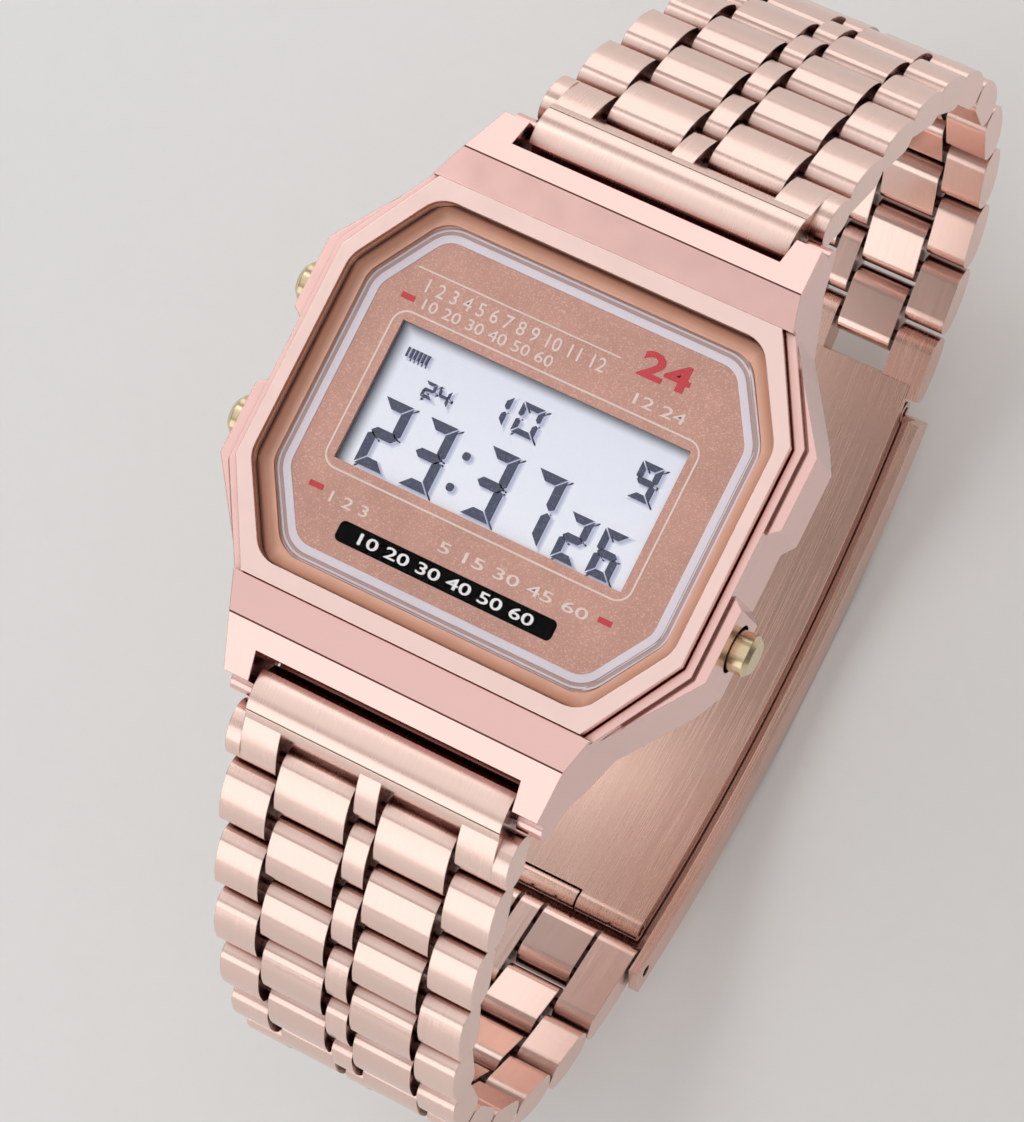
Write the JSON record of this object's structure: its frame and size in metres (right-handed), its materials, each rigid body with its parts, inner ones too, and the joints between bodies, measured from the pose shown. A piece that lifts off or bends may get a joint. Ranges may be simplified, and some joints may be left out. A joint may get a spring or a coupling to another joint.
{
  "type": "digital wristwatch",
  "caption": "Digital wristwatch with an octagonal case, side buttons, a five-column link bracelet and a folding clasp, closed as it is worn.",
  "frame": {"origin": "middle of the case back's outer face", "axes": "+X to 3 o'clock, +Y to 12 o'clock, +Z out of the crystal"},
  "size_m": [0.0354, 0.0764, 0.0575],
  "materials": {
    "case_metal": "polished rose gold plating",
    "crystal_resin": "clear",
    "gasket_rubber": "matt",
    "seal_rubber": "matt",
    "dial_print": "satin print",
    "lcd_glass": "clear over a reflector",
    "guide_resin": "gloss",
    "lamp": "gloss",
    "frame_resin": "moulded",
    "strip_rubber": "matt",
    "board_laminate": "solder mask",
    "plated_steel": "plated",
    "gilt_brass": "bright",
    "back_steel": "circular brushed",
    "fastener_steel": "bright",
    "button_gilt": "satin champagne plating",
    "link_metal": "brushed rose gold plating",
    "clasp_metal": "brushed rose gold plating"
  },
  "bodies": {
    "case": {"case_middle": "case_metal", "crystal_ring": "case_metal", "crystal": "crystal_resin", "crystal_gasket": "gasket_rubber", "dial_plate": "dial_print", "lcd_panel": "lcd_glass", "light_guide": "guide_resin", "backlight_lamp": "lamp", "module_frame": "frame_resin", "contact_strips": "strip_rubber", "circuit_board": "board_laminate", "quartz_can": "plated_steel", "coin_cell": "plated_steel", "cell_clip": "gilt_brass", "sounder_disc": "gilt_brass", "case_back": "back_steel", "back_gasket": "seal_rubber", "back_screws": "fastener_steel", "button_springs": "fastener_steel", "button_seals": "seal_rubber", "lug_spring_bars": "fastener_steel"},
    "light_button": {"button_light": "button_gilt", "clip_light": "fastener_steel"},
    "mode_button": {"button_mode": "button_gilt", "clip_mode": "fastener_steel"},
    "start_button": {"button_start": "button_gilt", "clip_start": "fastener_steel"},
    "end_link_12": {"end_link_12": "link_metal"},
    "row_12_01": {"row_12_01": "link_metal"},
    "row_12_02": {"row_12_02": "link_metal"},
    "row_12_03": {"row_12_03": "link_metal"},
    "row_12_04": {"row_12_04": "link_metal"},
    "row_12_05": {"row_12_05": "link_metal"},
    "row_12_06": {"row_12_06": "link_metal"},
    "row_12_07": {"row_12_07": "link_metal"},
    "row_12_08": {"row_12_08": "link_metal"},
    "row_12_09": {"row_12_09": "link_metal"},
    "row_12_10": {"row_12_10": "link_metal"},
    "end_link_6": {"end_link_6": "link_metal"},
    "row_6_01": {"row_6_01": "link_metal"},
    "row_6_02": {"row_6_02": "link_metal"},
    "row_6_03": {"row_6_03": "link_metal"},
    "row_6_04": {"row_6_04": "link_metal"},
    "row_6_05": {"row_6_05": "link_metal"},
    "row_6_06": {"row_6_06": "link_metal"},
    "row_6_07": {"row_6_07": "link_metal"},
    "row_6_08": {"row_6_08": "link_metal"},
    "row_6_09": {"row_6_09": "link_metal"},
    "row_6_10": {"row_6_10": "link_metal", "clasp_spring_bar": "fastener_steel"},
    "clasp_inner": {"clasp_inner_blade": "clasp_metal", "clasp_strap_pin": "fastener_steel"},
    "clasp_middle": {"clasp_middle_blade": "clasp_metal", "clasp_pins": "fastener_steel"},
    "clasp_cover": {"clasp_cover": "clasp_metal"}
  },
  "joints": [
    {"name": "light_press", "type": "slide", "parent": "case", "child": "light_button", "axis": [1, 0, 0], "range_m": [0, 0.0008], "stiffness_N_per_m": 800},
    {"name": "mode_press", "type": "slide", "parent": "case", "child": "mode_button", "axis": [1, 0, 0], "range_m": [0, 0.0008], "stiffness_N_per_m": 800},
    {"name": "start_press", "type": "slide", "parent": "case", "child": "start_button", "axis": [-1, 0, 0], "range_m": [0, 0.0008], "stiffness_N_per_m": 800},
    {"name": "lug_hinge_12", "type": "hinge", "parent": "case", "child": "end_link_12", "pos_m": [0, 0.0185, 0.00225], "axis": [1, 0, 0], "range_deg": [0, 20]},
    {"name": "strap_12_hinge_01", "type": "hinge", "parent": "end_link_12", "child": "row_12_01", "pos_m": [0, 0.02361, -0.00122], "axis": [1, 0, 0], "range_deg": [0, 7]},
    {"name": "strap_12_hinge_02", "type": "hinge", "parent": "row_12_01", "child": "row_12_02", "pos_m": [0, 0.02735, -0.00483], "axis": [1, 0, 0], "range_deg": [0, 10]},
    {"name": "strap_12_hinge_03", "type": "hinge", "parent": "row_12_02", "child": "row_12_03", "pos_m": [0, 0.03083, -0.00869], "axis": [1, 0, 0], "range_deg": [0, 15]},
    {"name": "strap_12_hinge_04", "type": "hinge", "parent": "row_12_03", "child": "row_12_04", "pos_m": [0, 0.03366, -0.01305], "axis": [1, 0, 0], "range_deg": [0, 15]},
    {"name": "strap_12_hinge_05", "type": "hinge", "parent": "row_12_04", "child": "row_12_05", "pos_m": [0, 0.03578, -0.0178], "axis": [1, 0, 0], "range_deg": [0, 18]},
    {"name": "strap_12_hinge_06", "type": "hinge", "parent": "row_12_05", "child": "row_12_06", "pos_m": [0, 0.03686, -0.02289], "axis": [1, 0, 0], "range_deg": [0, 20]},
    {"name": "strap_12_hinge_07", "type": "hinge", "parent": "row_12_06", "child": "row_12_07", "pos_m": [0, 0.03668, -0.02809], "axis": [1, 0, 0], "range_deg": [0, 22]},
    {"name": "strap_12_hinge_08", "type": "hinge", "parent": "row_12_07", "child": "row_12_08", "pos_m": [0, 0.03507, -0.03303], "axis": [1, 0, 0], "range_deg": [0, 22]},
    {"name": "strap_12_hinge_09", "type": "hinge", "parent": "row_12_08", "child": "row_12_09", "pos_m": [0, 0.03216, -0.03734], "axis": [1, 0, 0], "range_deg": [0, 22]},
    {"name": "strap_12_hinge_10", "type": "hinge", "parent": "row_12_09", "child": "row_12_10", "pos_m": [0, 0.02818, -0.04069], "axis": [1, 0, 0], "range_deg": [0, 21]},
    {"name": "lug_hinge_6", "type": "hinge", "parent": "case", "child": "end_link_6", "pos_m": [0, -0.0185, 0.00225], "axis": [-1, 0, 0], "range_deg": [0, 20]},
    {"name": "strap_6_hinge_01", "type": "hinge", "parent": "end_link_6", "child": "row_6_01", "pos_m": [0, -0.02361, -0.00122], "axis": [-1, 0, 0], "range_deg": [0, 7]},
    {"name": "strap_6_hinge_02", "type": "hinge", "parent": "row_6_01", "child": "row_6_02", "pos_m": [0, -0.02735, -0.00483], "axis": [-1, 0, 0], "range_deg": [0, 10]},
    {"name": "strap_6_hinge_03", "type": "hinge", "parent": "row_6_02", "child": "row_6_03", "pos_m": [0, -0.03083, -0.00869], "axis": [-1, 0, 0], "range_deg": [0, 15]},
    {"name": "strap_6_hinge_04", "type": "hinge", "parent": "row_6_03", "child": "row_6_04", "pos_m": [0, -0.03366, -0.01305], "axis": [-1, 0, 0], "range_deg": [0, 15]},
    {"name": "strap_6_hinge_05", "type": "hinge", "parent": "row_6_04", "child": "row_6_05", "pos_m": [0, -0.03578, -0.0178], "axis": [-1, 0, 0], "range_deg": [0, 18]},
    {"name": "strap_6_hinge_06", "type": "hinge", "parent": "row_6_05", "child": "row_6_06", "pos_m": [0, -0.03686, -0.02289], "axis": [-1, 0, 0], "range_deg": [0, 20]},
    {"name": "strap_6_hinge_07", "type": "hinge", "parent": "row_6_06", "child": "row_6_07", "pos_m": [0, -0.03668, -0.02809], "axis": [-1, 0, 0], "range_deg": [0, 22]},
    {"name": "strap_6_hinge_08", "type": "hinge", "parent": "row_6_07", "child": "row_6_08", "pos_m": [0, -0.03507, -0.03303], "axis": [-1, 0, 0], "range_deg": [0, 22]},
    {"name": "strap_6_hinge_09", "type": "hinge", "parent": "row_6_08", "child": "row_6_09", "pos_m": [0, -0.03216, -0.03734], "axis": [-1, 0, 0], "range_deg": [0, 22]},
    {"name": "strap_6_hinge_10", "type": "hinge", "parent": "row_6_09", "child": "row_6_10", "pos_m": [0, -0.02818, -0.04069], "axis": [-1, 0, 0], "range_deg": [0, 21]},
    {"name": "clasp_swing", "type": "hinge", "parent": "row_12_10", "child": "clasp_inner", "pos_m": [0, 0.02347, -0.04288], "axis": [1, 0, 0], "range_deg": [0, 45]},
    {"name": "clasp_unfold", "type": "hinge", "parent": "clasp_inner", "child": "clasp_middle", "pos_m": [0, -0.02118, -0.04338], "axis": [-1, 0, 0], "range_deg": [0, 100]},
    {"name": "clasp_cover_lift", "type": "hinge", "parent": "clasp_middle", "child": "clasp_cover", "pos_m": [0, 0.01918, -0.04513], "axis": [1, 0, 0], "range_deg": [0, 160]}
  ],
  "couplings": [
    {"joint": "clasp_cover_lift", "follows": "clasp_unfold", "ratio": 1.6}
  ]
}
